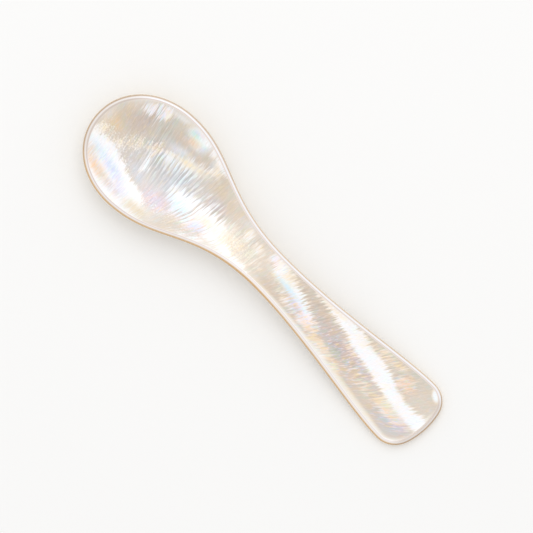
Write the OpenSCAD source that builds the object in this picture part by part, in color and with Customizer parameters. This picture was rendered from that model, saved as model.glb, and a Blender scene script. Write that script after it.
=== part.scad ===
// Serving spoon cut from one valve of a pearl shell: a round bowl, a waisted neck and a paddle handle.
// The valve grew in two bonded layers, which are the two sub-parts: pearly nacre above, honey shell below.
// X runs from the bowl's tip to the handle's end, Z is up, and the spoon lies on Z = 0.

/* [Outline] */
// Length from the bowl's tip to the handle's end
length = 120; // [105:0.5:150]
// Width of the bowl
bowl_width = 32.3; // [26:0.1:40]
// Distance from the tip to the widest place of the bowl
bowl_widest_at = 18.8; // [15:0.1:23]
// Width of the neck at its narrowest
neck_width = 11.5; // [8:0.1:15]
// Distance from the tip to the narrowest place of the neck
neck_at = 61.5; // [54:0.5:72]
// Width of the handle's end
end_width = 20.9; // [17:0.1:26]
// Radius of the two corners of the handle's end
corner_radius = 6.6; // [4:0.1:8]
// Radius of the arched edge between those corners
end_radius = 20.8; // [16:0.1:60]

/* [Outline curves] */
// How far the tip's curve runs straight across before it turns: more makes a blunter tip
tip_pull = 9.7; // [7:0.1:13]
// How far the bowl's side runs straight towards the tip before it turns
bowl_front_pull = 10.2; // [7:0.1:13]
// How far the bowl's side runs straight towards the neck before it turns
bowl_back_pull = 15.9; // [11:0.1:20]
// How far the neck runs straight towards the bowl before it widens
neck_front_pull = 22.4; // [15:0.1:27]
// How far the neck runs straight towards the handle before it widens
neck_back_pull = 20.8; // [14:0.1:26]
// How far the handle's side runs straight ahead of its corner
end_pull = 10.7; // [7:0.1:14]

/* [Hand cutting] */
// Sideways bow of the middle line, as the shell's grain led the saw
side_bow = 1.6; // [-3:0.1:3]
// Extra bow that the bowl's half has and the handle's half lacks
bow_shift = 0.4; // [-1:0.1:1]
// Slant of the tip, sideways run for each millimetre across
tip_slant = -0.043; // [-0.1:0.001:0.1]
// Slant of the handle's end, sideways run for each millimetre across
end_slant = 0.074; // [-0.1:0.001:0.1]

/* [Shell] */
// Thickness of the bowl's wall at its deepest place, both layers together
bowl_wall = 2; // [1.7:0.1:3]
// Thickness of the nacre layer
nacre_thickness = 0.9; // [0.6:0.05:1.2]
// Depth of the bowl's hollow below the rim
bowl_depth = 5.2; // [3.5:0.1:8]
// Depth of the shallow trough that carries on along the handle
trough_depth = 0.3; // [0.2:0.05:0.8]
// How much lower the rim is at the tip than beside the bowl
tip_drop = 0.5; // [0:0.1:1.5]
// How far the neck arches above a plain slope from bowl to handle end
neck_arch = 2; // [0:0.1:4]

/* [Edge] */
// Width of the rolled rim, seen from above
rim_width = 1; // [0.8:0.05:1.6]
// Height of the rolled rim above the outermost line of the edge
rim_height = 1.4; // [1.1:0.05:1.7]
// Width of the honey line that shows outside the nacre, seen from above
honey_line = 0.3; // [0.1:0.05:0.5]
// Width of the cove inside the rim
cove_width = 0.3; // [0.2:0.05:0.6]
// Depth of the cove below the rim
cove_depth = 0.15; // [0.05:0.01:0.2]
// Width of the rounding below the outermost line
under_width = 0.7; // [0.4:0.05:1]
// Height of the rounding below the outermost line
under_height = 0.9; // [0.6:0.05:1.2]

/* [Hidden] */
NACRE = [0.93, 0.91, 0.87];
HONEY = [0.79, 0.66, 0.47];

// Steps along one side of the outline: tip, bowl, neck to handle, corner, end
tip_steps = 22;
bowl_steps = 22;
handle_steps = 18;
corner_steps = 8;
end_steps = 6;
// Rings between the edge and the middle line, and around the rim and the rounding under it
face_rings = 6;
roll_rings = 3;
under_rings = 3;

edge_thickness = rim_height + under_height;
rim_inner = rim_width + cove_width;
rim_crest = bowl_depth + bowl_wall;
foot_at = length - under_width;

// Plan of one side: a curve is four points, and each step gives the point and its inward normal
corner_bend = asin((end_width/2 - corner_radius)/(end_radius - corner_radius));
corner_centre = [length - end_radius + (end_radius - corner_radius)*cos(corner_bend),
                 end_width/2 - corner_radius];
corner_start = corner_centre + [0, corner_radius];
end_centre = [length - end_radius, 0];
tip_curve = [[0, 0], [0, tip_pull],
             [bowl_widest_at - bowl_front_pull, bowl_width/2], [bowl_widest_at, bowl_width/2]];
bowl_curve = [[bowl_widest_at, bowl_width/2], [bowl_widest_at + bowl_back_pull, bowl_width/2],
              [neck_at - neck_front_pull, neck_width/2], [neck_at, neck_width/2]];
handle_curve = [[neck_at, neck_width/2], [neck_at + neck_back_pull, neck_width/2],
                corner_start - [end_pull, 0], corner_start];

function curve_point(c, t) =
    c[0]*pow(1 - t, 3) + 3*c[1]*pow(1 - t, 2)*t + 3*c[2]*(1 - t)*t*t + c[3]*pow(t, 3);
function curve_slope(c, t) =
    (c[1] - c[0])*pow(1 - t, 2) + 2*(c[2] - c[1])*(1 - t)*t + (c[3] - c[2])*t*t;
function right_of(v) = [v.y, -v.x]/norm(v);
function curve_steps(c, n) =
    [for (k = [0:n - 1]) [curve_point(c, k/n), right_of(curve_slope(c, k/n))]];
function arc_steps(centre, r, from, to, n) =
    [for (k = [0:n - 1]) let (a = from + (to - from)*k/n, out = [cos(a), sin(a)]) [centre + r*out, -out]];

side = concat(
    curve_steps(tip_curve, tip_steps),
    curve_steps(bowl_curve, bowl_steps),
    curve_steps(handle_curve, handle_steps),
    arc_steps(corner_centre, corner_radius, 90, corner_bend, corner_steps),
    arc_steps(end_centre, end_radius, corner_bend, 0, end_steps),
    [[[length, 0], [-1, 0]]]);

// The loop goes up one side and back down its mirror image; the middle line spans bowl to handle corner
half = len(side) - 1;
loop = 2*half;
spine_first = tip_steps;
spine_last = tip_steps + bowl_steps + handle_steps;
function step_of(i) = i <= half ? i : loop - i;
function hand_of(i) = i <= half ? 1 : -1;
function spine_of(i) = min(max(step_of(i), spine_first), spine_last) - spine_first;
function spine_x(j) = side[spine_first + j][0].x;
function inset_point(i, inset) =
    let (s = side[step_of(i)], p = s[0] + inset*s[1]) [p.x, hand_of(i)*p.y];
function toward_spine(i, inset, f) =
    (1 - f)*inset_point(i, inset) + f*[spine_x(spine_of(i)), 0];

// Heights: the rim's crest along the spoon, which comes down level at the handle's end so that the
// end lies flat; the hollow below the crest; and the fall of face and back from edge to middle line
function arch(t) = pow(4*t*(1 - t), 2);
function ease(t) = t*t*(3 - 2*t);
function crest(x) =
    let (t = (x - bowl_widest_at)/(foot_at - bowl_widest_at))
    x < bowl_widest_at
        ? rim_crest - tip_drop*pow(1 - x/bowl_widest_at, 2)
        : rim_crest + neck_arch*arch(t) + (edge_thickness - rim_crest)*ease(t);
function bowl_share(x) =
    let (t = min(max((x - bowl_widest_at)/(neck_at - bowl_widest_at), 0), 1))
    (1 + cos(180*t))/2;
function hollow(x) =
    trough_depth + (bowl_depth - trough_depth)*bowl_share(x);
function dish(f) = 1 - pow(1 - f, 2);
function face_z(x, depth_x, f) = crest(x) - cove_depth - (hollow(depth_x) - cove_depth)*dish(f);
function back_z(x, depth_x, f) =
    crest(x) - edge_thickness - (rim_crest - edge_thickness)*bowl_share(depth_x)*dish(f);

// Hand cutting bends the true plan a little; the bowl's middle stays on Y = 0
function bow(x) = side_bow*sin(180*x/length) + bow_shift*sin(360*x/length);
function slant(x) = tip_slant*pow(1 - x/length, 3) + end_slant*pow(x/length, 3);
function placed(p, z) =
    [p.x + p.y*slant(p.x) - length/2, p.y + bow(p.x) - bow(bowl_widest_at), z];

// Rings of the edge, each at an angle around the roll: 0 is the outermost line and 90 the crest
function roll_ring(a) =
    [for (i = [0:loop - 1])
        let (p = inset_point(i, rim_width*(1 - cos(a))))
        placed(p, crest(p.x) - rim_height*(1 - sin(a)))];
function under_ring(a) =
    [for (i = [0:loop - 1])
        let (p = inset_point(i, under_width*(1 - cos(a))))
        placed(p, crest(p.x) - rim_height - under_height*sin(a))];
// Rings of the face, lowered by drop, and of the back, from the edge (f = 0) to the middle line (f = 1)
function face_ring(f, drop) =
    [for (i = [0:loop - 1])
        let (p = toward_spine(i, rim_inner, f))
        placed(p, face_z(p.x, spine_x(spine_of(i)), f) - drop)];
function back_ring(f) =
    [for (i = [0:loop - 1])
        let (p = toward_spine(i, under_width, f))
        placed(p, back_z(p.x, spine_x(spine_of(i)), f))];
function face_spine(drop) =
    [for (j = [0:spine_last - spine_first])
        let (x = spine_x(j)) placed([x, 0], face_z(x, x, 1) - drop)];
function back_spine() =
    [for (j = [0:spine_last - spine_first])
        let (x = spine_x(j)) placed([x, 0], back_z(x, x, 1))];

// Angle around the roll at which the honey line ends and the nacre starts
seam_angle = acos(1 - honey_line/rim_width);

// A skin is its rings, from the seam inwards, and the middle line that closes it
pearl_face = [
    concat(
        [for (k = [0:roll_rings]) roll_ring(seam_angle + (90 - seam_angle)*k/roll_rings)],
        [for (k = [0:face_rings - 1]) face_ring(k/face_rings, 0)]),
    face_spine(0)];
layer_seam = [
    concat(
        [roll_ring(seam_angle)],
        [for (k = [0:face_rings - 1]) face_ring(k/face_rings, nacre_thickness)]),
    face_spine(nacre_thickness)];
shell_back = [
    concat(
        [roll_ring(seam_angle), roll_ring(seam_angle/2), roll_ring(0)],
        [for (k = [1:under_rings - 1]) under_ring(90*k/under_rings)],
        [for (k = [0:face_rings - 1]) back_ring(k/face_rings)]),
    back_spine()];

// Triangles between two rings, and between the last ring and the middle line, facing up
function band(a, b) =
    [for (i = [0:loop - 1]) let (n = (i + 1) % loop) each [[a + i, a + n, b + n], [a + i, b + n, b + i]]];
function closing(a, s) =
    [for (i = [0:loop - 1])
        let (n = (i + 1) % loop, p = s + spine_of(i), q = s + spine_of(n))
        each p == q ? [[a + i, a + n, p]] : [[a + i, a + n, q], [a + i, q, p]]];
function skin_faces(starts, spine_start) =
    concat(
        [for (k = [0:len(starts) - 2]) each band(starts[k], starts[k + 1])],
        closing(starts[len(starts) - 1], spine_start));
function turned_over(faces) = [for (f = faces) [f[0], f[2], f[1]]];
function flat(rings) = [for (r = rings) each r];

// A closed layer between an upper and a lower skin, which share their first ring at the seam
module layer(upper, lower) {
    upper_count = len(upper[0]);
    lower_count = len(lower[0]);
    lower_rings = [for (k = [1:lower_count - 1]) lower[0][k]];
    upper_starts = [for (k = [0:upper_count - 1]) k*loop];
    upper_spine = upper_count*loop;
    lower_first = upper_spine + len(upper[1]);
    lower_starts = concat([0], [for (k = [0:lower_count - 2]) lower_first + k*loop]);
    lower_spine = lower_first + (lower_count - 1)*loop;
    polyhedron(
        points = concat(flat(upper[0]), upper[1], flat(lower_rings), lower[1]),
        faces = concat(
            skin_faces(upper_starts, upper_spine),
            turned_over(skin_faces(lower_starts, lower_spine))),
        convexity = 6);
}

module nacre_layer() {
    color(NACRE) layer(pearl_face, layer_seam);
}

module honey_shell_layer() {
    color(HONEY) layer(layer_seam, shell_back);
}

nacre_layer();
honey_shell_layer();
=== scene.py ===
# %% [markdown]
# # A serving spoon of pearl shell
#
# The spoon is sawn from one valve of a large shell, ground to its outline and polished all over.
# A valve grows in two bonded layers: pearly nacre inside and a honey-coloured layer outside. The
# CAD model has one solid for each, so the looks are built around those two. The lesson rounds the
# facets of the CAD layers, paints the figure of the nacre and lights it softly from above.

# %% Load the CAD frame
import math

import bpy
import numpy as np
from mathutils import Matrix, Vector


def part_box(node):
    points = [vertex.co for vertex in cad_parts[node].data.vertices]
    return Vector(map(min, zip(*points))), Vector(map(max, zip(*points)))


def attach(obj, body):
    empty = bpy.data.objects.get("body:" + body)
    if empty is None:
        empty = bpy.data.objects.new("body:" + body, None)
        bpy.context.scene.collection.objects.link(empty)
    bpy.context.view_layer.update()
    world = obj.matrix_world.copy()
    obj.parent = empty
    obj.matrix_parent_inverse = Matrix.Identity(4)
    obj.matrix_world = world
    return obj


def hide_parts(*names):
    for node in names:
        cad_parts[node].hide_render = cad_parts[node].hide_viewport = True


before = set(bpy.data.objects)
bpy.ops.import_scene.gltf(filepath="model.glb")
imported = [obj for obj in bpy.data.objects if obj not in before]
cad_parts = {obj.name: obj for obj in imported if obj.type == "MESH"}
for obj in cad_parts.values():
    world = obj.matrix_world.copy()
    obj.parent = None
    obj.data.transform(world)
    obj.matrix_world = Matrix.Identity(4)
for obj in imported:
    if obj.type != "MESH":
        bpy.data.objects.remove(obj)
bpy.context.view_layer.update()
MM = 1000.0  # the frame is in metres, and the figure of the nacre is laid out in millimetres
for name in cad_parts:
    low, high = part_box(name)
    print(name, "spans", [round(MM * side, 2) for side in high - low], "mm")

# %% [markdown]
# ## Two smooth layers
#
# The real surfaces are ground by hand and have no facets. One way is to model the spoon again from
# a plane with insets, but the CAD layers already have the right shape. So each layer's mesh is
# copied, its loose triangles are welded and paired into quads, and a Subdivision Surface rounds
# them. The seam where nacre and honey meet is the one sharp edge, and a full crease keeps it there
# in both layers, so that they still touch all along it.

# %% Select a piece or its seam
SEAM_ANGLE = math.radians(80)


def only(piece):
    """Make a piece the one selected and active object."""
    bpy.ops.object.select_all(action="DESELECT")
    bpy.context.view_layer.objects.active = piece
    piece.select_set(True)


def select_seam():
    """Select the sharp edges of the piece that is in edit mode."""
    bpy.ops.mesh.select_mode(type="EDGE")
    bpy.ops.mesh.select_all(action="DESELECT")
    bpy.ops.mesh.edges_select_sharp(sharpness=SEAM_ANGLE)


print("edges bent by", round(math.degrees(SEAM_ANGLE)), "degrees or more belong to the seam")

# %% Weld, crease and round both layers
WELD_REACH = 2e-6  # metres
ANY_ANGLE = math.pi  # no two triangles are too bent or too skewed to make a quad
ROUNDING_LEVELS = 2


def rounded_layer(node, name):
    """A smooth piece from the mesh of a CAD node."""
    piece = bpy.data.objects.new(name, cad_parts[node].data.copy())
    bpy.context.scene.collection.objects.link(piece)
    piece.data.materials.clear()
    only(piece)
    bpy.ops.object.mode_set(mode="EDIT")
    bpy.ops.mesh.select_all(action="SELECT")
    bpy.ops.mesh.remove_doubles(threshold=WELD_REACH)
    bpy.ops.mesh.tris_convert_to_quads(face_threshold=ANY_ANGLE, shape_threshold=ANY_ANGLE)
    select_seam()
    bpy.ops.transform.edge_crease(value=1)
    bpy.ops.object.mode_set(mode="OBJECT")
    rounding = piece.modifiers.new("rounding", "SUBSURF")
    rounding.levels = rounding.render_levels = ROUNDING_LEVELS
    bpy.ops.object.modifier_apply(modifier="rounding")
    bpy.ops.object.shade_smooth_by_angle(angle=SEAM_ANGLE)
    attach(piece, "root")
    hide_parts(node)
    print(name, "has", len(piece.data.polygons), "faces")
    return piece


nacre = rounded_layer("nacre_layer", "nacre_face")
honey = rounded_layer("honey_shell_layer", "honey_back")

# %% [markdown]
# ## Distance from the edge
#
# The rim of the spoon changes colour from outside in: honey, white, a rosy crease, then the face.
# A material can follow that if every vertex knows how far it is from the edge. This could be
# painted with a weight brush, but the seam is a closed loop of edges, so it can be measured: in
# plan, from each vertex to its nearest seam edge. Such a measure is kept as an attribute of the
# mesh, one value for each vertex, which the material later reads by its name.

# %% Read the vertices and keep values on them
def points_mm(piece):
    """The vertices of a piece in millimetres."""
    flat = np.empty(3 * len(piece.data.vertices), np.float32)
    piece.data.vertices.foreach_get("co", flat)
    return MM * flat.reshape(-1, 3).astype(float)


def store(piece, name, values, kind="FLOAT"):
    """Keep one value for each vertex, for the material to read."""
    field = {"FLOAT": "value", "FLOAT_VECTOR": "vector", "FLOAT_COLOR": "color"}[kind]
    layer = piece.data.attributes.new(name, kind, "POINT")
    layer.data.foreach_set(field, np.ascontiguousarray(values, np.float32).ravel())


print("the nacre has", len(nacre.data.vertices), "vertices to paint on")

# %% Measure the distance from the seam
HONEY_LINE = 0.3  # mm of the honey layer that show outside the seam
BATCHES = 40  # the vertices are measured in batches, to save memory


def seam_edges(piece):
    """Both ends of every seam edge, in plan."""
    only(piece)
    bpy.ops.object.mode_set(mode="EDIT")
    select_seam()
    bpy.ops.object.mode_set(mode="OBJECT")
    points = points_mm(piece)[:, :2]
    ends = np.array([edge.vertices[:] for edge in piece.data.edges if edge.select])
    return points[ends[:, 0]], points[ends[:, 1]]


def seam_distance(points, starts, stops):
    """Distance to the nearest seam edge, and the foot of that shortest way."""
    runs = stops - starts
    lengths = (runs**2).sum(1)
    gaps, feet = [], []
    for batch in np.array_split(points[:, :2], BATCHES):
        away = batch[:, None] - starts
        along = np.clip((away * runs).sum(2) / lengths, 0, 1)
        foot = starts + along[..., None] * runs
        gap = np.hypot(*(batch[:, None] - foot).transpose(2, 0, 1))
        nearest = gap.argmin(1)
        rows = np.arange(len(batch))
        gaps.append(gap[rows, nearest])
        feet.append(foot[rows, nearest])
    return np.concatenate(gaps), np.concatenate(feet)


seam_starts, seam_stops = seam_edges(nacre)
nacre_points = points_mm(nacre)
x, y = nacre_points[:, 0], nacre_points[:, 1]
seam_gap, seam_foot = seam_distance(nacre_points, seam_starts, seam_stops)
edge_mm = seam_gap + HONEY_LINE
print(len(seam_starts), "seam edges; the deepest point lies", edge_mm.max().round(2), "mm from the edge")

# %% [markdown]
# ## Sides, ends and a wandering line
#
# The light falls in its own way on the near side, the far side and the two ends of the rim, so a
# vertex should know which of them it is next to. The way from the seam to the vertex tells: it
# points inwards, across the rim. The real rim was also ground by hand, which took a little more off
# in some places. An even offset would look turned on a lathe, so the distance is allowed to wander
# by up to a quarter of a millimetre. The lines of the rim move in where that is negative.

# %% Tell the sides apart and let the rim wander
LEAST_GAP = 1e-4  # mm, as a vertex on the seam itself has no way inwards
NECK_BULGE = -0.14  # mm, on the near side
NECK_MIDDLE, NECK_REACH = -2, 12  # mm along the spoon


def step(value, low, high):
    """0 at low, 1 at high and a straight line between, whichever of them is larger."""
    return np.clip((value - low) / (high - low), 0, 1)


inward = (nacre_points[:, :2] - seam_foot) / np.maximum(seam_gap, LEAST_GAP)[:, None]
near = inward[:, 1]
ends = np.abs(inward[:, 0])
on_near = step(near, 0.3, 0.8)
on_far = step(-near, 0.1, 0.6)
at_ends = step(ends, 0.5, 1)
neck_wander = NECK_BULGE * np.exp(-(((x - NECK_MIDDLE) / NECK_REACH) ** 2))
far_wander = np.interp(x, [-30, -18], [-0.04, 0.1])
handle_wander = (x > 0) * np.interp(edge_mm, [0.3, 0.55], [0, 0.12])
crease_wander = np.interp(edge_mm, [0.8, 1.4], [0, -0.25])
wander = on_near * neck_wander + on_far * far_wander + at_ends * (handle_wander + crease_wander)
store(nacre, "rim_mm", edge_mm + wander)
store(nacre, "near", near)
store(nacre, "ends", ends)
print("the rim wanders by", wander.min().round(2), "to", wander.max().round(2), "mm")

# %% [markdown]
# ## The grain of the nacre
#
# Nacre is built of thin sheets that were ground through at a slant, and their ends show as fine
# strokes. They run across the bowl, lean over along the neck and hook backwards near one side. A
# noise texture that is stretched along these strokes needs two coordinates, across and along, which
# bend with them. A Mapping node can't bend, so they are worked out for every vertex, and stored as
# one vector.

# %% Work out the grain
LEAN_AT = [-52, -37, -31, -25, -12, -4, 5, 16, 40, 60]
LEAN = [-0.17, -0.18, -0.02, 0.11, 0.05, 0.14, 0.42, 0.56, 0.62, 0.72]
# The strokes are shorter on the handle than in the bowl
SHORT_AT = [-10, 16]
SHORT = [1.0, 1.6]
HOOK_AT = [-50, -38, -32, -26, -18, -8, 4, 16, 60]
HOOK = [0.004, 0.006, 0.01, 0.022, 0.036, 0.04, 0.035, 0.025, 0.025]
HOOK_FROM = -1.0  # mm across the spoon, just on the near side of its middle
HOOK_POWER = 2.3
BOWL_TO_HANDLE = [-24, -6]  # mm along the spoon


def grain_of(x, y):
    """Millimetres across and along the strokes of the nacre."""
    lean = np.interp(x, LEAN_AT, LEAN) * y
    hook = np.interp(x, HOOK_AT, HOOK) * np.maximum(0, HOOK_FROM - y) ** HOOK_POWER
    along = y * np.interp(x, SHORT_AT, SHORT)
    return np.stack([x - lean + hook, along, np.zeros_like(x)], 1)


grain = grain_of(x, y)
store(nacre, "grain", grain, "FLOAT_VECTOR")
store(nacre, "in_bowl", np.interp(x, BOWL_TO_HANDLE, [1, 0]))
print("the grain runs", grain.min(0).round(1), "to", grain.max(0).round(1), "mm")

# %% [markdown]
# ## Where the pearl is bright
#
# The figure is a play of bright sweeps and quiet beige fields. It could be left to a random noise,
# but on the real spoon the sweeps lie in certain places: one along the side of the bowl, one from
# the bowl into the neck, one across the handle and a long one down to its end. The sweeps are partly
# the nacre's own pale figure and partly painted sheen, the light that the sheets reflect. Each is
# laid down as a band along a path, with a half width at each point. The stored value is how far a
# vertex is inside a bright place, in millimetres, and the material frays that border along the grain.

# %% Measure bands and ovals
OUTSIDE = -99.0  # mm


def band(path):
    """Millimetres inside a band, given as points with half widths."""
    best = np.full(len(x), OUTSIDE)
    for (x0, y0, w0), (x1, y1, w1) in zip(path, path[1:]):
        run_x, run_y = x1 - x0, y1 - y0
        t = np.clip(((x - x0) * run_x + (y - y0) * run_y) / (run_x**2 + run_y**2), 0, 1)
        gap = np.hypot(x - x0 - t * run_x, y - y0 - t * run_y)
        best = np.maximum(best, w0 + t * (w1 - w0) - gap)
    return best


def spot(at, size, turn=0, flat=1.3):
    """1 in the middle of an oval, fading to 0 outside it; flat makes its border steeper."""
    c, s = math.cos(math.radians(turn)), math.sin(math.radians(turn))
    u = ((x - at[0]) * c + (y - at[1]) * s) / size[0]
    v = ((y - at[1]) * c - (x - at[0]) * s) / size[1]
    return np.exp(-((u * u + v * v) ** flat))


print("an oval of 4 by 2 mm is over half strong at", int((spot((0, 0), (2, 1)) > 0.5).sum()), "vertices")

# %% Lay down the bright sweeps
QUIET = -2.6  # mm outside any bright place

# Bright sweeps: the nacre's own pale figure, with painted sheen laid over it
SWEEPS = {
    "bowl side": [
        (-57.5, -6, 2.4), (-53, -9.5, 6.2), (-48, -10.6, 5.6),
        (-43, -12.2, 4.5), (-38.5, -12.4, 4.3), (-34.5, -12.8, 2.2),
    ],
    "bowl to neck": [
        (-29.5, -2.3, 2.4), (-27, -2.7, 3.1), (-23.6, -2.3, 3.6), (-19, -0.9, 3.2),
        (-15, -2.2, 3.0), (-11.5, -3.4, 1.9), (-8, -3.9, 0.8), (-3, -3.8, 0.2),
    ],
    "bowl far side": [
        (-33.8, 13.2, 1.3), (-31.8, 13.4, 0.3), (-30.5, 13, 0.5),
        (-28, 12, 0.8), (-25.5, 11.1, 0.6), (-24, 10.8, 0.1),
    ],
    "terrace": [(-36, 5.6, 0.2), (-33, 6.3, 0.6), (-30.5, 6.9, 0.5), (-28, 8.2, 0.4), (-26, 9.8, 0.4)],
    "bowl middle": [(-42, 0.2, 0.2), (-41.6, -1, 0.7), (-41.2, -2.8, 0.4)],
    "across the handle": [
        (0.6, 4.0, 1.3), (3.5, 3.1, 2.0), (7, 2.2, 1.5), (11, 1.1, 1.7),
        (14.5, -0.3, 1.4), (18, -1.6, 1.2), (21, -3, 0.5),
    ],
    "handle": [
        (14, 5.2, 0), (19, 5.4, 0.9), (23, 5.1, 1.5), (27, 4.5, 1.6), (31, 3.7, 2.2), (35, 2.9, 2.3),
        (39, 2.1, 2.3), (43, 1.0, 2.3), (47, -0.4, 2.0), (51, -1.6, 2.0), (55, -1.8, 1.9), (58.6, -1, 1.8),
    ],
}
# How much steeper than plain millimetres the border of a sweep is
STEEP = {"handle": 1.9, "bowl side": 1.7, "across the handle": 1.3, "bowl far side": 1.3}

bright = np.full(len(x), QUIET)
for name, path in SWEEPS.items():
    bright = np.maximum(bright, STEEP.get(name, 1) * band(path))
print(len(SWEEPS), "sweeps;", round(100 * float((bright > 0).mean())), "% of the vertices lie in one")

# %% [markdown]
# ## Bright strokes and the arc
#
# Between the sweeps only single strokes light up. There an oval lifts the stored value part of the
# way, and the fraying does the rest. In the bowl, an arc crosses the grain where the grinding cut a
# step into the sheets. A curtain of strokes hangs from it, with a golden line at its top. Modelling
# that step would make no difference to the eye, as it is thinner than a hair, so it is painted too.

# %% Add the places that are bright in strokes
STROKE_FLAT = 2.2
# Middle, half sizes, turn, how bright
STROKES = [
    # The tip and the near wall of the bowl
    ((-56.5, -3.5), (1.8, 3), 0, 1.2),
    ((-54.6, -1.8), (3.4, 1.6), -8, -0.9),
    ((-50, -2.8), (2.8, 2.2), 0, -0.1),
    ((-32.5, -7.5), (4.4, 3), 0, -1.1),
    ((-25, -7.5), (7, 3), 22, -1.7),
    # The far wall and the middle of the bowl
    ((-48.4, 11), (5.4, 2.3), 32, 0.7),
    ((-47.6, 0.4), (4.4, 2.4), 38, -0.3),
    ((-43.6, 3.2), (3, 1.7), 40, 0.0),
    ((-42, -1.6), (1.5, 2.6), 8, -0.3),
    ((-26, 2.6), (6, 2.6), 0, -0.7),
    ((-20.5, 2.6), (3.2, 2.2), 0, -0.4),
    # The neck
    ((-13, 0), (7, 4), 0, -0.2),
    ((-8.8, 3.2), (2.4, 2.5), 0, -0.1),
    ((-7, -1), (8, 3), 0, -1.0),
    ((-5.8, 0.4), (2, 2.4), 0, -0.3),
    ((-5, 2.4), (4, 1.8), 0, -0.6),
    # The handle
    ((3.6, 3.4), (4.5, 2.2), 0, 0.4),
    ((12, -1.8), (7, 2), -4, -0.3),
    ((17.5, -2.0), (4.5, 2.4), 0, 0.5),
    ((25.5, -4.8), (8, 1.8), -10, 0.1),
    ((32, 0.8), (5, 1.6), -10, -0.9),
    ((39, 5.8), (8, 1.7), 8, -0.3),
    ((42, -4), (11, 2), -8, -0.9),
    ((47, 3.8), (4.5, 2.4), 20, -0.4),
    ((50, -3.8), (7.5, 2.4), 0, 0.5),
]

for at, size, turn, level in STROKES:
    bright = np.maximum(bright, QUIET + (level - QUIET) * spot(at, size, turn, STROKE_FLAT))
print(len(STROKES), "places of strokes;", round(100 * float((bright > QUIET + 1).mean())), "% can light up")

# %% Hang a curtain of strokes from the arc
ARC_X = [-50, -46, -43, -40, -38, -33, -29, -26, -24.5]
ARC_Y = [-0.6, 1.4, 3.4, 5.0, 5.9, 6.8, 7.8, 9.9, 11.4]
GOLD_AT, GOLD_WIDTH = 0.7, 0.6  # mm under the arc

hanging = np.interp(x, ARC_X, ARC_Y) - y
curtain = np.interp(hanging, [-0.6, 0.5, 2.5, 6, 9], [QUIET, 1.3, 0.6, -0.8, QUIET])
in_arc = np.interp(x, [-48, -40, -31, -26], [0, 1, 1, 0])
bright = np.maximum(bright, QUIET + (curtain - QUIET) * in_arc)
arc_line = np.exp(-(((hanging - GOLD_AT) / GOLD_WIDTH) ** 2))
arc_line *= np.interp(x, [-50, -44, -41, -36, -34, -25, -24], [0, 1, 0.5, 0.5, 1, 0.8, 0])
print("the golden line crosses", int((arc_line > 0.5).sum()), "vertices")

# %% [markdown]
# ## Light beside the rim
#
# The polished rim throws light onto the face next to it. Along the near side of the bowl it lights
# up strokes, and along the neck, the handle and the far side it is an even line. A lamp could hardly
# be aimed at such narrow lines, but the distance from the edge is known, so they are painted as
# strips of a certain width that fade out along the spoon.

# %% Follow the rim with light
STRIP_WIDTH = 2.0  # mm
STRIP_STEEP = 1.6
STRIP_MOST = -0.1  # mm inside, so that the strip stays broken into strokes
BRIGHTEST = 2.5  # mm inside that count, so that frayed strokes reach into a broad sweep

strip = np.minimum(STRIP_STEEP * (STRIP_WIDTH - edge_mm), STRIP_MOST)
strip_share = on_near * np.interp(x, [-37, -34, -27, -23, -16, -8], [1, 0.3, 0.3, 1, 1, 0])
bright = np.maximum(bright, QUIET + (strip - QUIET) * strip_share)
bright = np.minimum(bright, BRIGHTEST)
store(nacre, "bright", bright)

neck_line = on_near * step(edge_mm, 3.2, 1.4) * np.interp(x, [-19, -13, -6, 3], [0, 0.62, 0.65, 0])
grip_reach = np.interp(x, [12, 34, 46, 54], [2.1, 2.9, 2.7, 2.1])
grip_line = on_near * step(edge_mm, grip_reach, grip_reach - 0.8) * np.interp(x, [-6, 4], [0, 0.7])
far_line = on_far * step(edge_mm, 2.4, 1.5) * np.interp(x, [-28, -20], [0.3, 0])
print("lines of up to", [round(float(part.max()), 2) for part in (neck_line, grip_line, far_line)])

# %% [markdown]
# ## Glows, flecks, painted shade and grains
#
# Four more traits change from place to place. Some places glow evenly with no strokes, such as the
# rainbow on the far wall, a painted iridescent sheen, and the glint in the handle's corner, a painted
# highlight. Lively ones are full of small flecks of colour. In etched ones, the ends of the sheets
# stand out as dark strokes of painted shade, and in grainy ones the light breaks up into painted
# dots of sparkle. One noise for all would make the spoon look the same all over, so each trait is a
# list of ovals, and the strongest one counts.

# %% Add the even glows
ARC_GLOW = 0.35
# Even glows, mostly painted sheen and highlights, with no strokes in them
# Middle, half sizes, turn, how much, and a border of its own if any
GLOWS = [
    # The rainbow and the far wall of the bowl, a painted iridescent sheen
    ((-35.7, 13.2), (4.4, 2.1), -3, 1.0, 2),
    ((-35, 11.3), (2.9, 1.4), 5, 0.85, 1.5),
    ((-34.6, 12.3), (2.2, 1.3), -25, 1.0, 2),
    ((-33.7, 12.6), (1.8, 2.3), 0, 1.0),
    ((-42.5, 13.8), (6, 0.9), 8, 0.6),
    # The arc
    ((-37.4, 6.9), (3.0, 1.0), 16, 0.6),
    ((-33, 6.3), (5.5, 1.1), 8, 0.8),
    ((-27, 10), (3, 0.8), -32, 0.6),
    # The tip and the near wall of the bowl
    ((-57.8, 1.5), (1.7, 6), 0, 0.3, 1),
    ((-56.6, -4.2), (1.3, 2.6), 20, 0.6),
    ((-50, -11), (6, 2.6), -16, 0.85),
    ((-35, -12), (4.5, 1.6), 8, 0.95),
    # The handle, and the glint in its corner, a painted highlight
    ((3.3, 3.5), (2.6, 1.3), -12, 0.75),
    ((8, 0.8), (6, 0.8), -6, 0.9),
    ((55.7, 7.3), (1.85, 0.9), -37, 1.0, 3),
    ((58.3, -1), (0.45, 3.4), 0, 0.8),
]


def most(places, least=0.0):
    """The strongest of some ovals at each vertex."""
    field = np.full(len(x), least)
    for at, size, turn, level, *flat in places:
        field = np.maximum(field, level * spot(at, size, turn, *flat))
    return field


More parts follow.
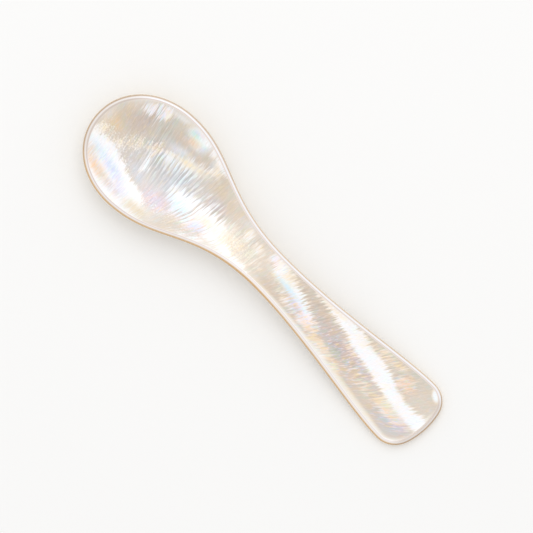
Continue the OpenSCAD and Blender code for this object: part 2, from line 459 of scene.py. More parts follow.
even_glow = np.max([most(GLOWS), ARC_GLOW * arc_line, grip_line, neck_line, far_line], 0)
store(nacre, "glow", even_glow)
print(len(GLOWS), "glows;", round(100 * float((even_glow > 0.5).mean())), "% of the vertices glow")

# %% Add the lively, the etched and the grainy places
LEAST_LIVELY, LEAST_STROKE_SHADE = 0.25, 0.15
LIVELY = [
    ((-50, -10), (8, 4), -15, 0.7), ((-47.5, 11), (5, 2.6), 22, 0.7), ((-42, 3), (5, 3), 0, 0.6),
    ((-37, 12.5), (5, 2.5), 0, 0.5), ((-33, -7), (5, 2.6), 0, 0.6), ((-22, -5), (7, 4), 20, 0.7),
    ((2, 3.4), (4, 2), 0, 0.7), ((16, -2), (8, 3), -10, 1.0), ((30, -2.5), (16, 5), -8, 0.85),
    ((40, 6), (8, 2), 8, 0.6), ((48, 4), (4, 3), 20, 0.8), ((50, -5.5), (8, 2.8), 0, 0.9),
]
# Places where the ends of the sheets show as dark strokes of painted shade
SHADE_STROKES = [
    ((-47, 7), (7, 7), 0, 0.6), ((-36, 0.5), (9, 7), -5, 0.75), ((-26, -3.2), (6, 2.6), 5, 0.68),
    ((-24, 0.5), (9, 4.5), -5, 0.72), ((-24, 6), (8, 4), -12, 0.4), ((-17, -2.4), (4.5, 2.6), 10, 0.58),
    ((-4, 3), (9, 3), 0, 0.35), ((18, 2), (13, 3.4), -6, 0.5), ((32, -1.6), (16, 3.4), -10, 0.5),
    ((40, 5), (20, 5), 0, 0.35),
]
GRAINS = [
    ((-55, -2.4), (4.5, 3), -12, 1.0), ((-47.8, 0.2), (5, 2.8), 35, 0.8), ((-46, -4.4), (7, 1.6), -16, 0.8),
    ((-43.4, 3.4), (3.6, 2), 40, 0.8), ((-34.5, -6.4), (4, 2.2), -10, 0.6), ((-31, -8.6), (7, 2.6), 10, 0.8),
    ((-22, -7), (5, 2), 24, 0.6), ((-9.5, -0.6), (5, 3), 0, 0.75),
]

store(nacre, "lively", most(LIVELY, LEAST_LIVELY))
store(nacre, "etched_shade", most(SHADE_STROKES, LEAST_STROKE_SHADE))
store(nacre, "grainy", most(GRAINS))
print(len(LIVELY), "lively,", len(SHADE_STROKES), "etched and", len(GRAINS), "grainy places")

# %% [markdown]
# ## The tones of the figure
#
# A quiet field is beige, but warmer towards the tip, grey in the bowl and rosy on the handle. A
# bright sweep is white with pastel clouds, where thin sheets of shell split the light. A colour ramp
# could give one such change, but not all of them in their places. So both are painted on the
# vertices: a ground colour first, then soft ovals of other colours over it. The material later
# chooses between the two paintings, stroke by stroke.

# %% Mix the colours
def rgb(red, green, blue):
    """A colour from its screen values, 0 to 255, as linear light."""
    screen = np.array((red, green, blue)) / 255
    return np.where(screen <= 0.04045, screen / 12.92, ((screen + 0.055) / 1.055) ** 2.4)


# Quiet tones
BEIGE, TAN, AMBER = rgb(216, 205, 189), rgb(217, 202, 177), rgb(231, 205, 165)
TAUPE, SAGE, ASH = rgb(201, 188, 178), rgb(213, 209, 194), rgb(211, 211, 209)
CREAM, ROSE, DUSK = rgb(230, 219, 202), rgb(222, 206, 206), rgb(208, 196, 187)
FAWN, SAND = rgb(214, 199, 180), rgb(224, 211, 189)
MAUVE, SLATE = rgb(222, 208, 217), rgb(207, 211, 217)
# Bright tones
WHITE, ICE, LILAC = rgb(254, 255, 255), rgb(213, 241, 252), rgb(218, 222, 252)
PEACH, STRAW, BLUSH = rgb(250, 211, 171), rgb(250, 231, 190), rgb(249, 215, 228)
MINT, APRICOT = rgb(200, 245, 236), rgb(255, 200, 146)
print("beige in linear light is", BEIGE.round(3))

# %% Paint the quiet fields
# Colour, middle, half sizes, turn, cover
QUIET_FIELDS = [
    # The tip and the far wall of the bowl
    (TAUPE, (-49, 6.4), (8, 4.6), 8, 0.7),
    (SAGE, (-43.5, 6), (4, 4), 0, 0.8),
    (SAND, (-47.5, 1.2), (3, 2), 10, 0.7),
    (TAN, (-56, 3), (3.5, 6), 0, 0.8),
    (AMBER, (-54.8, 0.6), (2.6, 1.7), 0, 0.9),
    (CREAM, (-52.5, 10), (5, 2.4), 46, 0.9),
    (SAGE, (-43, 11.5), (5.5, 3.2), 10, 0.9),
    # The middle of the bowl, and round the arc and the rainbow
    (ASH, (-43, -3), (6, 3.5), -10, 0.9),
    (DUSK, (-43, -4), (4, 2), -14, 0.5),
    (ASH, (-33, 0.8), (11, 6), 0, 1),
    (SLATE, (-31, -0.8), (5, 3.6), 0, 0.7),
    (SLATE, (-41, -5), (3.4, 1.5), -14, 0.7),
    (TAUPE, (-37, 8.8), (6, 1.4), 5, 0.3),
    (FAWN, (-38.6, 10.2), (3.4, 1.5), 8, 0.8),
    (ASH, (-38, 7.6), (4, 1.1), 12, 0.8),
    # From the bowl into the neck
    (SAND, (-21, 6.6), (9, 3.4), -12, 0.7),
    (CREAM, (-31, -9.6), (4, 2), 10, 0.8),
    (FAWN, (-31.2, 10.4), (0.9, 2.6), -8, 0.6),
    (ASH, (-28.4, 10.2), (1.2, 1.4), 0, 0.8),
    (MAUVE, (-33, -7), (4.5, 2.6), -5, 0.95),
    (CREAM, (-24, -8.5), (6.5, 2.6), 25, 0.9),
    (SAGE, (-26, -8.2), (6, 2), 22, 0.5),
    (CREAM, (-6, 2), (12, 6), 0, 0.95),
    (WHITE, (-10, 5.8), (3.4, 1.6), 0, 0.25),
    (CREAM, (-17.4, 7.8), (3.4, 1.6), -14, 0.8),
    (ROSE, (-20.5, 3.4), (2.8, 1.8), 0, 0.8),
    # The handle and its end
    (FAWN, (5, -2.4), (4, 1.6), 0, 0.9),
    (FAWN, (19, 2.8), (10, 2.3), -5, 0.9),
    (DUSK, (29, -2.2), (11, 3), -10, 1.0),
    (ROSE, (37, -0.8), (9, 1.2), -13, 0.5),
    (SAGE, (38, -3.4), (10, 1.6), -10, 0.5),
    (SAND, (40, 6.2), (8, 1.8), 8, 0.9),
    (BEIGE, (53, 4), (6, 4.5), 0, 0.8),
    (SAGE, (50, 7.5), (5, 1.3), 5, 0.7),
    (BEIGE, (39, -5.2), (8, 2.6), -8, 0.6),
    (SAND, (23, -4), (4, 1.8), -8, 0.8),
    (SAND, (42, -4.6), (8, 1.8), -8, 0.9),
    (SAND, (30, -4.4), (6, 1.6), -10, 0.8),
    (DUSK, (52, -7), (6.5, 3), 0, 0.6),
    (ASH, (52, -7.2), (4.5, 2), 0, 0.5),
    (SLATE, (52.8, -5.8), (2.8, 1), 10, 0.6),
    (MAUVE, (54, -4.8), (3, 1.4), 0, 0.7),
    (CREAM, (54, 3), (5, 4), 0, 0.4),
    (PEACH, (48.4, 4), (2, 2.2), 0, 0.5),
]


def painting(ground, ovals):
    """A colour for each vertex: a ground with soft ovals laid over it in turn."""
    tone = np.tile(ground, (len(x), 1))
    for colour, at, size, turn, cover in ovals:
        tone += (colour - tone) * (cover * spot(at, size, turn))[:, None]
    return np.hstack([tone, np.ones((len(x), 1))])


store(nacre, "quiet_tone", painting(BEIGE, QUIET_FIELDS), "FLOAT_COLOR")
print(len(QUIET_FIELDS), "quiet fields are painted")

# %% Paint the bright clouds
ARC_GOLD = 0.75
# Colour, middle, half sizes, turn, cover
BRIGHT_CLOUDS = [
    # The tip and the near wall of the bowl
    (ICE, (-53, -7.2), (4, 1), -12, 0.5),
    (LILAC, (-47, -8.7), (4.5, 1.3), -12, 0.75),
    (PEACH, (-51, -11), (5, 1.4), -18, 0.9),
    (APRICOT, (-51.2, -11.4), (2.6, 0.6), -20, 0.5),
    (SAND, (-54, -9.2), (2.6, 1.5), -38, 0.7),
    (SAND, (-47, -11.7), (3, 1.1), -10, 0.7),
    (LILAC, (-42, -11), (2.5, 1.4), -15, 0.5),
    (ROSE, (-43.5, -12.4), (3, 1), -8, 0.6),
    (SAND, (-34.5, -12), (5, 1.9), 8, 1.0),
    (STRAW, (-35.5, -12), (4, 1.6), 8, 0.3),
    (STRAW, (-57, -3.4), (1.2, 2), 10, 0.3),
    (STRAW, (-47.6, 0.6), (4.6, 2.2), 36, 0.8),
    (STRAW, (-55, -2.2), (3.6, 1.4), -8, 0.8),
    # The middle of the bowl
    (ICE, (-28, -3.8), (5, 2), 0, 0.8),
    (ICE, (-35, 1), (8, 5), 0, 0.5),
    (STRAW, (-20, -2.2), (4, 1.6), 15, 0.6),
    (CREAM, (-13, -3.6), (4, 2), 0, 0.4),
    (LILAC, (-20.5, -5), (2.5, 1.6), 40, 0.9),
    (STRAW, (-43, 3), (4, 2.4), 0, 0.2),
    (BLUSH, (-33, -6.5), (4.5, 2.2), 0, 0.6),
    (LILAC, (-32.5, -5.4), (5, 1.8), 0, 0.5),
    # The rainbow, a painted iridescent sheen, and the arc
    (PEACH, (-36.8, 10.7), (3, 1.1), 8, 0.85),
    (STRAW, (-36, 11.9), (1.6, 0.5), 0, 0.6),
    (MINT, (-34.4, 12.3), (1.1, 0.6), 0, 0.1),
    (LILAC, (-33.1, 10.9), (1, 1.1), 0, 0.9),
    (STRAW, (-40, 13.4), (1.1, 1), 0, 0.6),
    (MINT, (-37.5, 12.9), (1.9, 0.9), 0, 0.9),
    (LILAC, (-37.4, 13.7), (0.9, 0.6), 0, 0.6),
    (BLUSH, (-35.8, 13.9), (0.8, 0.5), 0, 0.5),
    (MINT, (-33, 12.1), (1.2, 0.5), 0, 0.45),
    (STRAW, (-26.5, 10), (3.5, 1), -32, 0.6),
    (STRAW, (-33, 6.2), (8, 1.2), 8, 0.6),
    (LILAC, (-38.6, 6.5), (2.8, 1), 16, 0.85),
    (ICE, (-36.2, 6.7), (1.6, 0.9), 16, 0.7),
    # The neck and the handle
    (STRAW, (5.5, 3.2), (4, 1.4), -18, 0.8),
    (STRAW, (-10, -0.8), (5.5, 3), 0, 0.75),
    (BLUSH, (0.8, 3.8), (1.6, 0.8), -30, 0.45),
    (WHITE, (3.2, 3.5), (2.3, 1), -12, 0.8),
    (WHITE, (-8, -3.8), (8, 1.2), 0, 0.85),
    (ICE, (8, 0.6), (5.5, 0.9), -4, 0.95),
    (LILAC, (12, -1.1), (3.5, 1), -15, 0.9),
    (STRAW, (20, 5.2), (6, 0.6), 0, 0.6),
    (STRAW, (22, -3.4), (6, 1.8), -8, 0.8),
    (LILAC, (52, -4), (4, 1), 8, 0.6),
    (LILAC, (54.2, -4.3), (2.2, 0.9), 5, 0.7),
    (STRAW, (47, -3.9), (8, 1.6), -4, 1.0),
    (STRAW, (31, -5), (6, 1.2), -10, 0.8),
    (STRAW, (38, -6.8), (10, 1.4), -9, 0.6),
    (PEACH, (49, 4), (3, 2.5), 0, 0.8),
    (STRAW, (40, 6), (8, 1.4), 8, 0.8),
    # A bluish tint in the painted highlight of the handle's corner
    (ICE, (55.6, 7.1), (2, 1), -35, 0.2),
]

bright_tone = painting(WHITE, BRIGHT_CLOUDS)
bright_tone[:, :3] += (STRAW - bright_tone[:, :3]) * (ARC_GOLD * arc_line)[:, None]
store(nacre, "bright_tone", bright_tone, "FLOAT_COLOR")
print(len(BRIGHT_CLOUDS), "clouds of colour are painted")

# %% [markdown]
# ## A tree of nodes
#
# A material is a tree of nodes, which by hand are added and wired in the Shader Editor. In a script
# that takes three lines for each node, so short helpers keep the tree readable. They make a node and
# wire its inputs: a plain value sets a socket, and another node's output is linked to it. The noise
# of the strokes is one of them, since the whole finish of the shell is built from it.

# %% Helpers that make and wire nodes
def new_tree(name):
    """A new material and its tree of nodes."""
    material = bpy.data.materials.new(name)
    material.use_nodes = True
    return material, material.node_tree


def node(tree, kind, inputs=None, **settings):
    """Add a node, set it up and wire its inputs."""
    made = tree.nodes.new(kind)
    for key, value in settings.items():
        setattr(made, key, value)
    for key, value in (inputs or {}).items():
        if isinstance(value, bpy.types.NodeSocket):
            tree.links.new(value, made.inputs[key])
        else:
            made.inputs[key].default_value = value
    return made


def attribute(tree, name, output="Fac"):
    """What the mesh has stored under a name."""
    return node(tree, "ShaderNodeAttribute", attribute_name=name).outputs[output]


nacre_material, tree = new_tree("polished_nacre")
along_grain = attribute(tree, "grain", "Vector")
print("a new material starts with", [made.name for made in tree.nodes])

# %% Helpers for numbers and noise
ROUGH_NOISE = 0.55  # how strong each finer step of a noise is, next to the one before


def calc(tree, operation, *values):
    """A sum, a product and the like."""
    return node(tree, "ShaderNodeMath", dict(enumerate(values)), operation=operation).outputs[0]


def line(tree, value, slope, start):
    """A value times a slope, plus a start."""
    return calc(tree, "MULTIPLY_ADD", value, slope, start)


def smooth(tree, value, low, high):
    """0 at low and 1 at high, whichever of them is larger, with a smooth step between."""
    limits = {"Value": value, "From Min": low, "From Max": high}
    return node(tree, "ShaderNodeMapRange", limits, interpolation_type="SMOOTHSTEP").outputs[0]


def strokes(tree, coordinates, across, along, detail, offset):
    """Noise in strokes: its size across and along the grain, in millimetres."""
    stretch = {0: coordinates, 1: (1 / across, 1 / along, 1), 2: (0, 0, offset)}
    stretched = node(tree, "ShaderNodeVectorMath", stretch, operation="MULTIPLY_ADD").outputs[0]
    noise = {"Vector": stretched, "Scale": 1.0, "Detail": detail, "Roughness": ROUGH_NOISE}
    return node(tree, "ShaderNodeTexNoise", noise).outputs["Fac"]


broad = strokes(tree, along_grain, across=0.62, along=6, detail=2, offset=1.3)
fine = strokes(tree, along_grain, across=0.3, along=2.8, detail=2, offset=7.7)
hair = strokes(tree, along_grain, across=0.22, along=1.4, detail=4, offset=3.1)
print("with three widths of strokes the tree has", len(tree.nodes), "nodes")

# %% Helpers for colours
def blend(tree, factor, under, over, kind="MIX"):
    """One colour over another."""
    wired = {0: factor, 6: under, 7: over}
    return node(tree, "ShaderNodeMix", wired, data_type="RGBA", blend_type=kind).outputs[2]


def paint(colour):
    """A colour as a socket takes it."""
    return (*colour, 1)


def tinted(tree, colour, shade):
    """A colour times a plain brightness."""
    grey = node(tree, "ShaderNodeCombineColor", {0: shade, 1: shade, 2: shade}).outputs[0]
    return blend(tree, 1.0, colour, grey, "MULTIPLY")


def ramp(tree, factor, stops):
    """The colour at a place on a ramp, from a list of places and screen colours."""
    made = node(tree, "ShaderNodeValToRGB", {"Fac": factor})
    bar = made.color_ramp
    while len(bar.elements) < len(stops):
        bar.elements.new(0.5)
    for element, (place, colour) in zip(bar.elements, stops):
        element.position = place
        element.color = paint(rgb(*colour))
    return made.outputs["Color"]


print("white as a socket takes it is", [round(float(part), 3) for part in paint(WHITE)])

# %% [markdown]
# ## Dark strokes and bright strokes
#
# Ground nacre shows the end of every sheet as a stroke, dark where it dips away from the light. A
# plain noise has no such rhythm, so the etched strokes are a sine wave across the grain, which the
# broad noise pushes to and fro until it no longer looks ruled. The bright places get their ragged
# ends from noise too, added to the millimetres that were stored. Where they end, the light is warm,
# so a thin golden fringe goes on their border.

# %% Etch the quiet fields with strokes of painted shade
STROKE_PITCH = 1.1  # mm from one etched stroke to the next
STROKE_SWAY = 11.0  # radians that the broad noise pushes the wave by
PATCHES = 3.0, -1.5  # slope and start of a noise that lifts and drowns the wave in patches
ETCH_FROM, ETCH_FULL = 0.1, -0.8  # heights of the wave
ETCH_SHADE = -0.16, 1.02  # light lost in a full stroke, and the light without any

across = node(tree, "ShaderNodeSeparateXYZ", {0: along_grain}).outputs[0]
wave = calc(tree, "MULTIPLY", across, 2 * math.pi / STROKE_PITCH)
swing = calc(tree, "MULTIPLY_ADD", broad, STROKE_SWAY, wave)
patch = line(tree, strokes(tree, along_grain, across=1.9, along=7, detail=1, offset=21.7), *PATCHES)
beat = calc(tree, "ADD", calc(tree, "SINE", swing), patch)
beat = calc(tree, "MULTIPLY", beat, attribute(tree, "etched_shade"))
# The stroke shade is painted: dark strokes where the sheets dip away from the light
stroke_shade = smooth(tree, beat, ETCH_FROM, ETCH_FULL)
quiet = tinted(tree, attribute(tree, "quiet_tone", "Color"), line(tree, stroke_shade, *ETCH_SHADE))
print("with etched strokes it has", len(tree.nodes), "nodes")

# %% Fray the bright places
FRAY = 4.6, -2.2  # mm that a noise of strokes moves a border, and the shift that evens it out
GRAIN_FRAY = 9.0, -4.5  # the same for dots
FEWER_STROKES = -0.7, 1.0  # strokes lost in a grainy place, and strokes elsewhere
ETCH_SETBACK = -2.5  # mm
DARK_AT, LIT_AT = -1.6, 1.1  # mm inside a bright place

grainy = attribute(tree, "grainy")
glow = attribute(tree, "glow")
stroke_fray = calc(tree, "ADD", line(tree, broad, *FRAY), line(tree, fine, *FRAY))
stroke_fray = calc(tree, "MULTIPLY", stroke_fray, line(tree, grainy, *FEWER_STROKES))
dots = strokes(tree, along_grain, across=0.42, along=0.5, detail=2, offset=31.1)
grain_fray = calc(tree, "MULTIPLY", line(tree, dots, *GRAIN_FRAY), grainy)
frayed = calc(tree, "ADD", attribute(tree, "bright"), calc(tree, "ADD", stroke_fray, grain_fray))
inside = calc(tree, "MULTIPLY_ADD", stroke_shade, ETCH_SETBACK, frayed)
light_up = calc(tree, "MAXIMUM", smooth(tree, inside, DARK_AT, LIT_AT), glow)
print("with frayed borders it has", len(tree.nodes), "nodes")

# %% Lay the bright tones over the quiet ones
TONE_FROM, TONE_FULL = 0.24, 0.6  # fine noise at which a stroke is white, and shows its cloud
GLOW_TONE = 0.9  # cloud that a full glow shows
GLOW_CALM = -0.8, 1.0  # strokes and shimmer lost in a full glow, and those elsewhere
# The golden fringe is painted warm light on the border of the bright places
WARM_FRINGE_LIGHT = -1.0, 1.2  # golden fringe lost in the bowl, and that on the handle

stroke_tone = smooth(tree, fine, TONE_FROM, TONE_FULL)
tone_share = calc(tree, "MAXIMUM", stroke_tone, calc(tree, "MULTIPLY", glow, GLOW_TONE))
cloud = blend(tree, tone_share, paint(WHITE), attribute(tree, "bright_tone", "Color"))
figure = blend(tree, light_up, quiet, cloud)
border = calc(tree, "MULTIPLY", light_up, calc(tree, "SUBTRACT", 1.0, light_up))
even = line(tree, glow, *GLOW_CALM)
warm_fringe_light = calc(tree, "MULTIPLY", even, line(tree, attribute(tree, "in_bowl"), *WARM_FRINGE_LIGHT))
figure = blend(tree, calc(tree, "MULTIPLY", border, warm_fringe_light), figure, paint(STRAW))
print("with its golden fringe it has", len(tree.nodes), "nodes")

# %% [markdown]
# ## The play of colour
#
# Thin sheets of shell split the light, so a pearly face has every pastel in it. Three layers give
# that. A faint shimmer tints the strokes all over, short flecks of clearer colour lie in the lively
# places, and white sparkle, painted glints, lies in the grainy ones. A thin film in the shader would
# change with the view, but these colours are painted, because they should stay where the real spoon
# has them.

# %% Add the shimmer
SHIMMER = 0.55, 0.06  # strength added in a lively place, and strength all over

hue = strokes(tree, along_grain, across=1.3, along=3.2, detail=3, offset=17.3)
shimmer = ramp(tree, hue, [
    (0.3, (255, 241, 200)), (0.38, (255, 232, 212)), (0.45, (255, 229, 240)), (0.52, (240, 236, 255)),
    (0.59, (226, 243, 255)), (0.67, (226, 253, 240)), (0.75, (250, 252, 214)),
])
lively = attribute(tree, "lively")
shimmer_share = calc(tree, "MULTIPLY", even, line(tree, lively, *SHIMMER))
figure = blend(tree, shimmer_share, figure, shimmer, "MULTIPLY")
print("with its shimmer it has", len(tree.nodes), "nodes")

# %% Add the flecks and the sparkle
FLECK_FROM, FLECK_FULL, FLECK_COVER = 0.54, 0.66, 0.7
HAIR_SHADE = 0.2, 0.9  # light and shade of the finest strokes
SPARK_FROM, SPARK_FULL, SPARK_COVER = 0.56, 0.72, 0.6

fleck_colour = ramp(tree, hue, [
    (0.36, (255, 231, 172)), (0.42, (253, 220, 192)), (0.48, (255, 247, 236)), (0.54, (230, 217, 246)),
    (0.62, (206, 222, 252)),
])
fleck_noise = strokes(tree, along_grain, across=0.42, along=2.3, detail=1, offset=11.9)
fleck_cover = calc(tree, "MULTIPLY", lively, FLECK_COVER)
flecked = calc(tree, "MULTIPLY", smooth(tree, fleck_noise, FLECK_FROM, FLECK_FULL), fleck_cover)
figure = blend(tree, flecked, figure, fleck_colour)
figure = tinted(tree, figure, line(tree, hair, *HAIR_SHADE))
# The sparkle is painted glints: white dots in the grainy places
spark_noise = strokes(tree, along_grain, across=0.36, along=0.42, detail=1, offset=41.7)
spark_cover = calc(tree, "MULTIPLY", grainy, SPARK_COVER)
sparkle = calc(tree, "MULTIPLY", smooth(tree, spark_noise, SPARK_FROM, SPARK_FULL), spark_cover)
figure = blend(tree, sparkle, figure, paint(WHITE))
print("with flecks and sparkle it has", len(tree.nodes), "nodes")

# %% [markdown]
# ## The lines of the rim
#
# The grinding rolled the edge over, so the rim cuts through the layers and shows a honey-tinted
# border. Inside it lie a white band, partly a painted highlight on the rolled edge, and a rosy
# crease, partly painted shade in the cove where the face begins. Each line could be a thin piece of
# its own, but they are one polished surface, so a colour ramp over the distance from the edge draws
# them. There are four ramps, lit and shaded copies of the same lines: for the far side, which faces
# the lamp, for the near side of the bowl and for the near side of the handle, which lie in the shade
# and get a more golden border, and for the two ends, which catch different light.

# %% Add the rim
RIM_SPAN = 3.0  # mm that a whole ramp covers
RIM_STOPS, RIM_FULL = 1.45, 1.15  # mm from the edge
FAR_TO_NEAR = -0.3, 0.5  # how much the way inwards points away from the near side
SIDE_TO_END = 0.5, 0.9  # how much it points along the spoon

edge = calc(tree, "DIVIDE", attribute(tree, "rim_mm"), RIM_SPAN)


def rim_ramp(stops):
    """A ramp from distances in millimetres and colours."""
    return ramp(tree, edge, [(at / RIM_SPAN, colour) for at, colour in stops])


# The lit far side first, then the shaded near sides; each ramp paints a highlight in its white band and
# shade in its crease
rim_far_lit = rim_ramp([
    (0.3, (194, 170, 148)), (0.42, (228, 212, 198)), (0.54, (243, 241, 243)), (0.86, (243, 242, 246)),
    (0.98, (228, 213, 207)), (1.12, (231, 216, 206)), (1.26, (245, 237, 230)),
])
rim_bowl_shaded = rim_ramp([
    (0.3, (216, 165, 100)), (0.46, (228, 199, 160)), (0.64, (238, 228, 219)), (0.86, (243, 240, 241)),
    (0.98, (209, 194, 188)), (1.12, (214, 200, 195)), (1.3, (242, 236, 232)),
])
rim_ends = rim_ramp([
    (0.3, (170, 134, 96)), (0.46, (206, 186, 168)), (0.62, (229, 223, 219)), (0.84, (231, 225, 220)),
    (1.0, (212, 197, 186)), (1.2, (214, 201, 192)), (1.36, (235, 228, 219)),
])
rim_grip_shaded = rim_ramp([
    (0.3, (218, 171, 110)), (0.46, (235, 209, 174)), (0.64, (245, 236, 228)), (0.86, (246, 242, 243)),
    (0.98, (229, 218, 216)), (1.12, (236, 228, 226)), (1.26, (250, 247, 245)),
])
rim_near_shaded = blend(tree, attribute(tree, "in_bowl"), rim_grip_shaded, rim_bowl_shaded)
rim_side = blend(tree, smooth(tree, attribute(tree, "near"), *FAR_TO_NEAR), rim_far_lit, rim_near_shaded)
rim_light_and_tone = blend(tree, smooth(tree, attribute(tree, "ends"), *SIDE_TO_END), rim_side, rim_ends)
rim_share = smooth(tree, edge, RIM_STOPS / RIM_SPAN, RIM_FULL / RIM_SPAN)
figure = blend(tree, rim_share, figure, rim_light_and_tone)
print("with its rim it has", len(tree.nodes), "nodes")

# %% [markdown]
# ## The polish
#
# Polished nacre is smooth to the touch, but its strokes are just deep enough to break up a
# highlight. Real grooves would take millions of faces, so a Bump node gives the depth. A clear coat
# lies over it, which gives the second, sharper highlight of a surface that is polished through.

# %% Polish the nacre
ROUGHNESS = 0.12, 0.2  # roughness added by the finest strokes, and roughness all over
GROOVE_STRENGTH, GROOVE_DEPTH = 0.25, 2e-5  # the depth in metres
NACRE_IOR = 1.53

shader = tree.nodes["Principled BSDF"]
tree.links.new(figure, shader.inputs["Base Color"])
tree.links.new(line(tree, hair, *ROUGHNESS), shader.inputs["Roughness"])
grooves = {"Height": calc(tree, "ADD", hair, fine), "Strength": GROOVE_STRENGTH, "Distance": GROOVE_DEPTH}
tree.links.new(node(tree, "ShaderNodeBump", grooves).outputs[0], shader.inputs["Normal"])
shader.inputs["IOR"].default_value = NACRE_IOR
shader.inputs["Coat Weight"].default_value = 0.5
shader.inputs["Coat Roughness"].default_value = 0.06
nacre.data.materials.append(nacre_material)
print("the finished nacre has", len(tree.nodes), "nodes")

# %% [markdown]
# ## The honey layer's finish
#
# The outer layer grew sheet by sheet under the nacre, each sheet a little paler or darker. A saw cut
# shows them as fine lines along the edge, and the ground back shows them as broad contours. Two
# textures would not meet at the corner. So both come from one measure, the depth of a vertex under
# the nacre: a noise that changes fast with the depth and slowly along the spoon draws the sheets
# wherever the surface cuts them.

# %% Measure the depth under the nacre
def depth_under(piece, above):
    """Millimetres from each vertex of a piece to the nearest point of the piece above it."""
    nearest = [above.closest_point_on_mesh(vertex.co)[1] for vertex in piece.data.vertices]
    return np.linalg.norm(points_mm(piece) - MM * np.array(nearest), axis=1)


honey_points = points_mm(honey)
honey_depth = depth_under(honey, nacre)
sheet_place = np.stack([honey_depth, honey_points[:, 0], honey_points[:, 1]], 1)
store(honey, "sheets", sheet_place, "FLOAT_VECTOR")
print("the honey layer goes", honey_depth.max().round(2), "mm deep")

# %% Draw the sheets of the honey layer
SHEET_SWAY = 1.1  # mm that the sheets dip and rise
GRIT_SCALE, GRIT_DETAIL = 1400.0, 3.0
GRIT_SHARE, LINE_SHARE = 0.1, 0.9

honey_material, tree = new_tree("polished_honey_shell")
sheets = node(tree, "ShaderNodeSeparateXYZ", {0: attribute(tree, "sheets", "Vector")}).outputs
place = node(tree, "ShaderNodeCombineXYZ", {0: sheets[1], 1: sheets[2]}).outputs[0]
sway = strokes(tree, place, across=26, along=15, detail=1, offset=5.3)
swayed = calc(tree, "MULTIPLY_ADD", sway, SHEET_SWAY, sheets[0])
layers = node(tree, "ShaderNodeCombineXYZ", {0: swayed, 1: sheets[1]}).outputs[0]
lines = strokes(tree, layers, across=0.16, along=40, detail=3, offset=2.2)
own_place = node(tree, "ShaderNodeTexCoord").outputs["Object"]
fine_noise = {"Vector": own_place, "Scale": GRIT_SCALE, "Detail": GRIT_DETAIL}
grit = node(tree, "ShaderNodeTexNoise", fine_noise).outputs["Fac"]
growth = calc(tree, "MULTIPLY_ADD", grit, GRIT_SHARE, calc(tree, "MULTIPLY", lines, LINE_SHARE))
honey_tone = ramp(tree, growth, [
    (0.3, (205, 166, 112)), (0.43, (219, 186, 138)), (0.52, (230, 205, 164)), (0.6, (238, 220, 188)),
    (0.72, (246, 236, 216)),
])
print("the sheets take", len(tree.nodes), "nodes")

# %% Tint the back, and paint light and shade on the upper edge
BACK_COVER = 0.55
BACK_TONE = rgb(240, 227, 203)
# The upper edge is painted lit on the far side and shaded on the near side and at the handle's end; the tip
# and the far side of the bowl are darker as well
SHADED_NEAR_EDGE, LIT_FAR_EDGE, FAR_BOWL_EDGE = rgb(212, 161, 94), rgb(210, 182, 152), rgb(188, 163, 142)
TIP_EDGE, SHADED_END_EDGE = rgb(170, 143, 117), rgb(150, 100, 48)

faces = node(tree, "ShaderNodeNewGeometry").outputs["Normal"]
to_end, to_far, to_top = node(tree, "ShaderNodeSeparateXYZ", {0: faces}).outputs
back = calc(tree, "MULTIPLY", smooth(tree, to_top, -0.5, -0.85), BACK_COVER)
honey_tone = blend(tree, back, honey_tone, paint(BACK_TONE))
edge_tone_and_light = blend(tree, smooth(tree, to_far, -0.4, 0.3), paint(SHADED_NEAR_EDGE), paint(LIT_FAR_EDGE))
far_bowl = calc(tree, "MULTIPLY", smooth(tree, sheets[1], -12, -28), smooth(tree, to_far, 0, 0.4))
edge_tone_and_light = blend(tree, far_bowl, edge_tone_and_light, paint(FAR_BOWL_EDGE))
edge_tone_and_light = blend(tree, smooth(tree, to_end, -0.3, -0.6), edge_tone_and_light, paint(TIP_EDGE))
edge_tone_and_light = blend(tree, smooth(tree, to_end, 0.3, 0.6), edge_tone_and_light, paint(SHADED_END_EDGE))
honey_tone = blend(tree, smooth(tree, to_top, 0.1, 0.6), honey_tone, edge_tone_and_light)
print("with its edge tones it has", len(tree.nodes), "nodes")

# %% Polish the honey layer
HONEY_ROUGHNESS = 0.15, 0.2  # roughness added by the grit, and roughness all over
GRIT_STRENGTH, GRIT_DEPTH = 0.3, 2e-5  # the depth in metres

shader = tree.nodes["Principled BSDF"]
tree.links.new(honey_tone, shader.inputs["Base Color"])
tree.links.new(line(tree, grit, *HONEY_ROUGHNESS), shader.inputs["Roughness"])
scratches = {"Height": grit, "Strength": GRIT_STRENGTH, "Distance": GRIT_DEPTH}
tree.links.new(node(tree, "ShaderNodeBump", scratches).outputs[0], shader.inputs["Normal"])
shader.inputs["Coat Weight"].default_value = 0.4
shader.inputs["Coat Roughness"].default_value = 0.08
honey.data.materials.append(honey_material)
print("the finished honey layer has", len(tree.nodes), "nodes")

# %% [markdown]
# ## Floor, light and camera
#
# The spoon lies on a pale floor and is seen from straight above. A white floor could be had with
# more light, but that would wash out the pearl. So a quarter of the floor's look is an even glow,
# which only the camera and reflections see, and the rest is lit and keeps the spoon's shadow. A
# broad lamp on the far side of the bowl gives soft highlights and lets a short shadow fall to the
# near side, and an even world fills the rest.

# %% Lay the floor
FLOOR_SIZE = 3.0  # metres
FLOOR_GLOW = 0.25

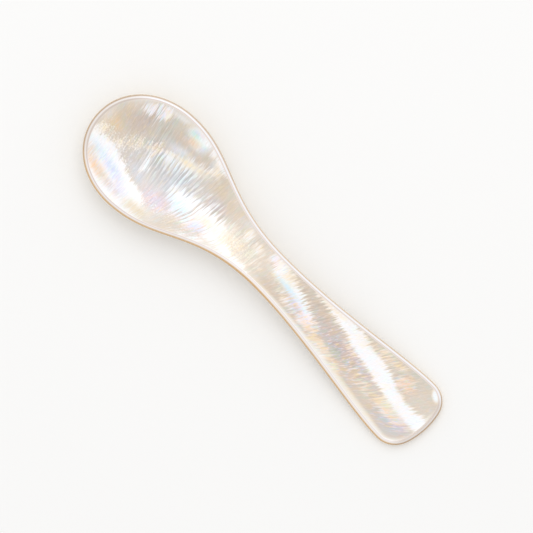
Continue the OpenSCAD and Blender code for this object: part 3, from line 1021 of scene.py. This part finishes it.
bpy.ops.object.select_all(action="DESELECT")
bpy.ops.mesh.primitive_plane_add(size=FLOOR_SIZE, location=(0, 0, 0))
floor = bpy.context.object
floor.name = "floor"
floor_material, tree = new_tree("pale_floor")
shader = tree.nodes["Principled BSDF"]
shader.inputs["Base Color"].default_value = paint(rgb(247, 247, 246))
shader.inputs["Roughness"].default_value = 0.8
shader.inputs["Specular IOR Level"].default_value = 0.1
paper = node(tree, "ShaderNodeEmission", {"Color": paint(rgb(247, 246, 245))})
ray = node(tree, "ShaderNodeLightPath").outputs
seen = calc(tree, "MAXIMUM", ray["Is Camera Ray"], ray["Is Glossy Ray"])
shares = {0: calc(tree, "MULTIPLY", seen, FLOOR_GLOW), 1: shader.outputs[0], 2: paper.outputs[0]}
half_lit = node(tree, "ShaderNodeMixShader", shares)
tree.links.new(half_lit.outputs[0], tree.nodes["Material Output"].inputs["Surface"])
floor.data.materials.append(floor_material)
print("the floor is", FLOOR_SIZE, "m wide")

# %% Light the room
ROOM_LIGHT, ROOM_SEEN = (0.818, 0.815, 0.815, 1), (0.93, 0.93, 0.92, 1)
LAMP_PLACE = -0.4, 0.46, 0.92  # metres
LAMP_SIZE = 0.95  # metres
LAMP_POWER = 4.08  # watts

world = bpy.data.worlds.new("soft_room")
bpy.context.scene.world = world
world.use_nodes = True
tree = world.node_tree
ray = node(tree, "ShaderNodeLightPath").outputs
room = blend(tree, ray["Is Camera Ray"], ROOM_LIGHT, ROOM_SEEN)
tree.links.new(room, tree.nodes["Background"].inputs["Color"])
bpy.ops.object.light_add(type="AREA", location=LAMP_PLACE)
lamp = bpy.context.object
lamp.data.size = LAMP_SIZE
lamp.data.energy = LAMP_POWER
lamp.rotation_euler = (-lamp.location).to_track_quat("-Z", "Y").to_euler()
print("the lamp hangs", round(lamp.location.length, 2), "m from the spoon")

# %% Set up the camera
FRAME_WIDTH = 0.140064  # metres that the picture is wide at the rim
FRAME_MIDDLE = 0.000025, 0.00096  # metres
FRAME_TURN = math.radians(43.941)
RIM_HEIGHT = 0.006
REACH = 4.0  # metres from the camera to the rim, so far that the view is all but parallel

camera_place = (*FRAME_MIDDLE, RIM_HEIGHT + REACH)
bpy.ops.object.camera_add(location=camera_place, rotation=(0, 0, FRAME_TURN))
camera = bpy.context.object
camera.data.lens = camera.data.sensor_width * REACH / FRAME_WIDTH
bpy.context.scene.camera = camera
bpy.context.scene.view_settings.view_transform = "Standard"
print("the lens is", round(camera.data.lens), "mm long")
